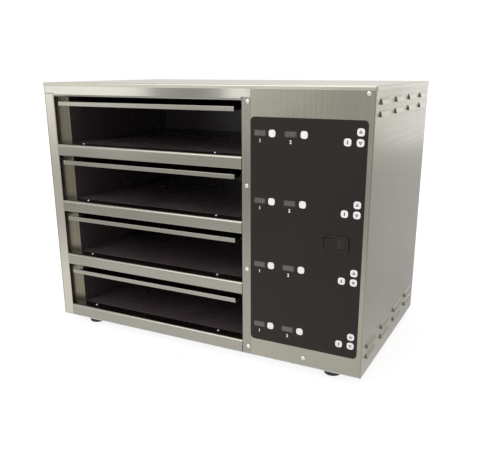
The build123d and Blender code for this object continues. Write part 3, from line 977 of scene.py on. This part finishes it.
@dataclass
class RockerMark:
    """A pale line across one end of the power switch's rocker: a painted highlight where its crease catches
    the light.
    """

    place: tuple[float, float, float] = (575.6, -2.0, 218.5)
    size: tuple[float, float, float] = (0.9 * MM, 14.0 * MM, 0.14 * MM)
    turn: float = math.radians(3.06)

    def build(self, finishes: Finishes) -> None:
        """Adds the line to the rocker.

        Args:
            finishes: The bin's materials.
        """
        bm = bmesh.new()
        bmesh.ops.create_cube(bm, size=1.0)
        bmesh.ops.scale(bm, vec=self.size, verts=bm.verts)
        turned = Matrix.Translation(spot(*self.place)) @ Matrix.Rotation(self.turn, 4, "Z")
        bmesh.ops.transform(bm, matrix=turned @ Facing.FRONT.value.to_4x4(), verts=bm.verts)
        show("rocker_painted_highlight", settle("rocker_painted_highlight", bm), finishes.mark, "switch_rocker")


# Stage


@dataclass
class Studio:
    """The pale floor, the white surroundings, the lamps and the camera."""

    eye: Vector = field(default_factory=lambda: Vector((0.54527, -1.03977, 0.49163)))
    azimuth: float = math.radians(26.99)
    elevation: float = math.radians(17.0)
    roll: float = math.radians(-0.14)
    lens: float = 43.78
    shift: tuple[float, float] = (0.0039, 0.06)
    floor_glow: float = 1.15
    floor_mirrored: tuple[float, float] = (1.6, 0.8)
    mirrored_centre: tuple[float, float] = (-0.2, -0.3)
    mirrored_reach: tuple[float, float] = (0.3, 0.85)
    shadow_reach: tuple[float, float] = (0.5, 1.5)
    shadow_share: tuple[float, float] = (0.72, 1.0)

    def camera(self) -> None:
        """Stands the camera where the photograph was taken from."""
        data = bpy.data.cameras.new("camera")
        data.lens = self.lens
        data.sensor_width = 36.0
        data.shift_x, data.shift_y = self.shift
        data.clip_start = 0.05
        data.clip_end = 60.0
        back = Vector((
            math.sin(self.azimuth) * math.cos(self.elevation),
            -math.cos(self.azimuth) * math.cos(self.elevation),
            math.sin(self.elevation),
        ))
        level = Vector((math.cos(self.azimuth), math.sin(self.azimuth), 0.0))
        tall = back.cross(level)
        right = level * math.cos(self.roll) + tall * math.sin(self.roll)
        above = tall * math.cos(self.roll) - level * math.sin(self.roll)
        camera = bpy.data.objects.new("camera", data)
        turned = Matrix((right, above, back)).transposed()
        camera.matrix_world = Matrix.Translation(self.eye) @ turned.to_4x4()
        bpy.context.scene.collection.objects.link(camera)
        bpy.context.scene.camera = camera

    def floor(self) -> None:
        """Lays the floor, which shows as white and keeps a faint shadow."""
        bm = bmesh.new()
        bmesh.ops.create_grid(bm, x_segments=1, y_segments=1, size=14.0)
        mesh = bpy.data.meshes.new("studio_floor")
        bm.to_mesh(mesh)
        bm.free()
        coat = Coating("studio_floor")
        coat.shader.inputs["Base Color"].default_value = (0.72, 0.715, 0.7, 1.0)
        coat.set(Roughness=0.9, Specular_IOR_Level=0.1)
        glow = coat.wiring.node("ShaderNodeEmission")
        mix = coat.wiring.node("ShaderNodeMixShader")
        path = coat.wiring.node("ShaderNodeLightPath")
        share = coat.wiring.node("ShaderNodeMath", operation="MAXIMUM")
        seen = coat.wiring.node("ShaderNodeMath", operation="MULTIPLY")
        coat.wiring.join(self._reach(coat, (0.0, 0.0), self.shadow_reach, self.shadow_share), seen.inputs[0])
        coat.wiring.join(path.outputs["Is Camera Ray"], seen.inputs[1])
        coat.wiring.join(seen.outputs["Value"], share.inputs[0])
        coat.wiring.join(coat.wiring.ramp(path.outputs["Is Glossy Ray"], 0.0, 0.8), share.inputs[1])
        strength = coat.wiring.node("ShaderNodeMix", data_type="FLOAT")
        coat.wiring.join(path.outputs["Is Camera Ray"], strength.inputs["Factor"])
        mirrored = self._reach(coat, self.mirrored_centre, self.mirrored_reach, self.floor_mirrored)
        coat.wiring.join(mirrored, strength.inputs["A"])
        strength.inputs["B"].default_value = self.floor_glow
        coat.wiring.join(strength.outputs["Result"], glow.inputs["Strength"])
        coat.wiring.join(share.outputs["Value"], mix.inputs["Fac"])
        coat.wiring.join(coat.shader.outputs["BSDF"], mix.inputs[1])
        coat.wiring.join(glow.outputs["Emission"], mix.inputs[2])
        output = next(n for n in coat.material.node_tree.nodes if n.type == "OUTPUT_MATERIAL")
        coat.wiring.join(mix.outputs["Shader"], output.inputs["Surface"])
        mesh.materials.append(coat.material)
        ground = bpy.data.objects.new("studio_floor", mesh)
        bpy.context.scene.collection.objects.link(ground)

    @staticmethod
    def _reach(
        coat: Coating, centre: tuple[float, float], near_far: tuple[float, float], values: tuple[float, float]
    ) -> bpy.types.NodeSocket:
        """Gives a value that changes with the distance from a point on the floor.

        Args:
            coat: The floor's material.
            centre: The point, in metres.
            near_far: The distances between which it changes, in metres.
            values: The value at either distance.

        Returns:
            The value.
        """
        away = coat.wiring.node("ShaderNodeVectorMath", operation="DISTANCE")
        coat.wiring.join(coat.place, away.inputs[0])
        away.inputs[1].default_value = (*centre, 0.0)
        reach = coat.wiring.node("ShaderNodeMapRange", interpolation_type="SMOOTHSTEP")
        for name, value in zip(("From Min", "From Max", "To Min", "To Max"), (*near_far, *values)):
            reach.inputs[name].default_value = value
        coat.wiring.join(away.outputs["Value"], reach.inputs["Value"])
        return reach.outputs["Result"]

    @staticmethod
    def _seen(wiring: Wiring) -> bpy.types.NodeSocket:
        """Gives 1 for rays from the camera and for those that gloss or glass sends on.

        Args:
            wiring: The node tree that needs it.

        Returns:
            The mask.
        """
        path = wiring.node("ShaderNodeLightPath")
        either = wiring.node("ShaderNodeMath", operation="MAXIMUM")
        wiring.join(path.outputs["Is Camera Ray"], either.inputs[0])
        wiring.join(path.outputs["Is Glossy Ray"], either.inputs[1])
        every = wiring.node("ShaderNodeMath", operation="MAXIMUM")
        wiring.join(either.outputs["Value"], every.inputs[0])
        wiring.join(path.outputs["Is Transmission Ray"], every.inputs[1])
        return every.outputs["Value"]

    def surroundings(self, ambient: float = 0.85) -> None:
        """Sets the world: white where it is seen, and a soft even light otherwise.

        Args:
            ambient: The strength of the even light.
        """
        world = bpy.data.worlds.new("studio")
        world.use_nodes = True
        wiring = Wiring(world.node_tree)
        soft = next(n for n in world.node_tree.nodes if n.type == "BACKGROUND")
        soft.inputs["Color"].default_value = (1.0, 1.0, 1.0, 1.0)
        soft.inputs["Strength"].default_value = ambient
        white = wiring.node("ShaderNodeBackground")
        white.inputs["Color"].default_value = (1.0, 1.0, 1.0, 1.0)
        mix = wiring.node("ShaderNodeMixShader")
        wiring.join(self._seen(wiring), mix.inputs["Fac"])
        wiring.join(soft.outputs["Background"], mix.inputs[1])
        wiring.join(white.outputs["Background"], mix.inputs[2])
        output = next(n for n in world.node_tree.nodes if n.type == "OUTPUT_WORLD")
        wiring.join(mix.outputs["Shader"], output.inputs["Surface"])
        bpy.context.scene.world = world

    def lamp(self, name: str, place: Vector, size: tuple[float, float], power: float, aim: Vector) -> None:
        """Hangs a softbox.

        Args:
            name: Its name.
            place: Where it hangs, in metres.
            size: Its width and its height, in metres.
            power: Its power, in watts.
            aim: The point that it faces.
        """
        data = bpy.data.lights.new(name, "AREA")
        data.shape = "RECTANGLE"
        data.size, data.size_y = size
        data.energy = power
        softbox = bpy.data.objects.new(name, data)
        softbox.location = place
        softbox.rotation_mode = "QUATERNION"
        softbox.rotation_quaternion = (aim - place).to_track_quat("-Z", "Y")
        softbox.visible_camera = False
        bpy.context.scene.collection.objects.link(softbox)

    def build(self) -> None:
        """Sets the stage."""
        bpy.context.scene.view_settings.view_transform = "Standard"
        self.floor()
        self.surroundings()
        middle = Vector((0.0, 0.0, 0.2))
        self.lamp("softbox_front", Vector((-0.9, -2.1, 1.9)), (1.8, 1.8), 33.0, middle)
        self.lamp("softbox_above", Vector((0.2, 0.5, 2.2)), (1.6, 1.6), 22.0, middle)
        self.lamp("strip_left", Vector((-2.08, -2.23, 0.5)), (0.83, 0.6), 3.0, Vector((-0.13, -0.18, 0.46)))
        self.lamp("strip_middle", Vector((-0.98, -2.23, 0.5)), (0.14, 0.7), 0.75, Vector((0.08, -0.18, 0.46)))
        self.lamp("softbox_back", Vector((1.2, 3.0, 0.55)), (1.5, 1.1), 4.4, Vector((0.25, 0.1, 0.4)))
        self.camera()


def dress(finishes: Finishes) -> None:
    """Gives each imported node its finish.

    Args:
        finishes: The bin's materials.
    """
    for name, material in finishes.by_node().items():
        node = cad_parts[name]
        for holder in node.material_slots:
            holder.material = material
    log.info("dressed %d nodes", len(finishes.by_node()))


def main() -> None:
    """Builds the studio, the finishes and the small pieces, in that order."""
    Studio().build()
    finishes = Finishes()
    dress(finishes)
    Screws().build(finishes)
    KeySymbols().build(finishes)
    Displays().build(finishes)
    RockerMark().build(finishes)


if __name__ == "__main__":
    main()
